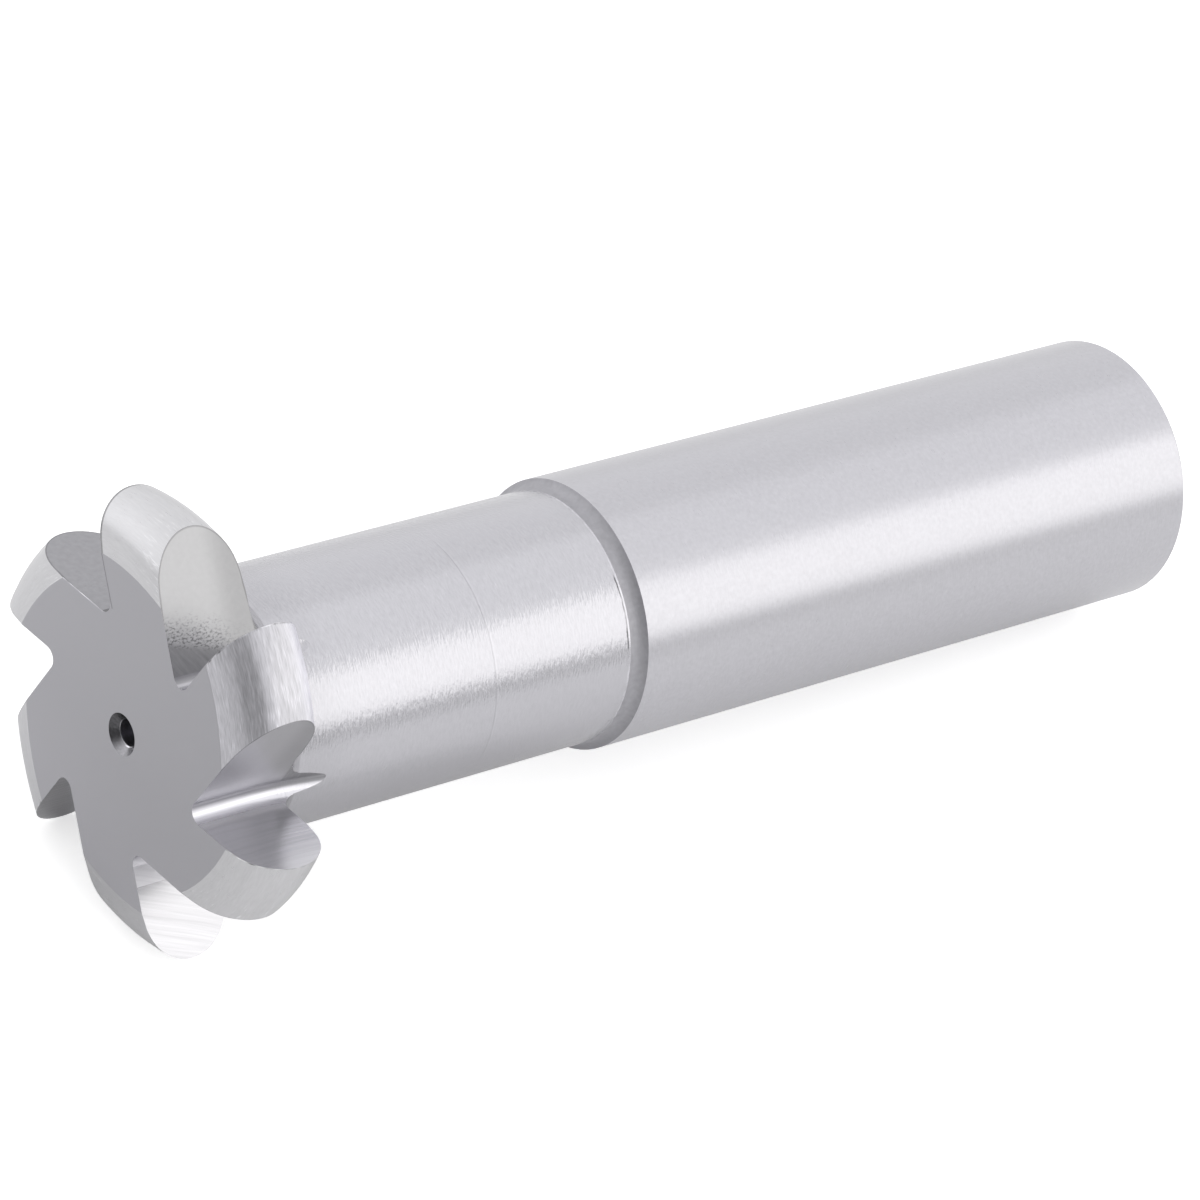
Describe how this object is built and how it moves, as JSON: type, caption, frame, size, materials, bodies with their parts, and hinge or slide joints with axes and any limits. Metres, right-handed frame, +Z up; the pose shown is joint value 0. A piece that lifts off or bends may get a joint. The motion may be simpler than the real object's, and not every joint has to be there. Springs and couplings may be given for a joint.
{
  "type": "convex radius cutter",
  "caption": "Form relieved milling cutter with half round teeth at the end of a straight shank, for milling a round groove.",
  "frame": {"origin": "on the floor under the middle of the part, which lies on its toothed head and on the lower edge of its shank end", "axes": "+X from the toothed head towards the shank end, along the length as the cutter lies, +Y to the side, +Z up"},
  "size_m": [0.0884, 0.0316, 0.029],
  "materials": {
    "tool_steel": "satin ground high speed steel, milled in the gullets"
  },
  "bodies": {
    "root": {"convex_radius_cutter": "tool_steel"}
  },
  "joints": []
}
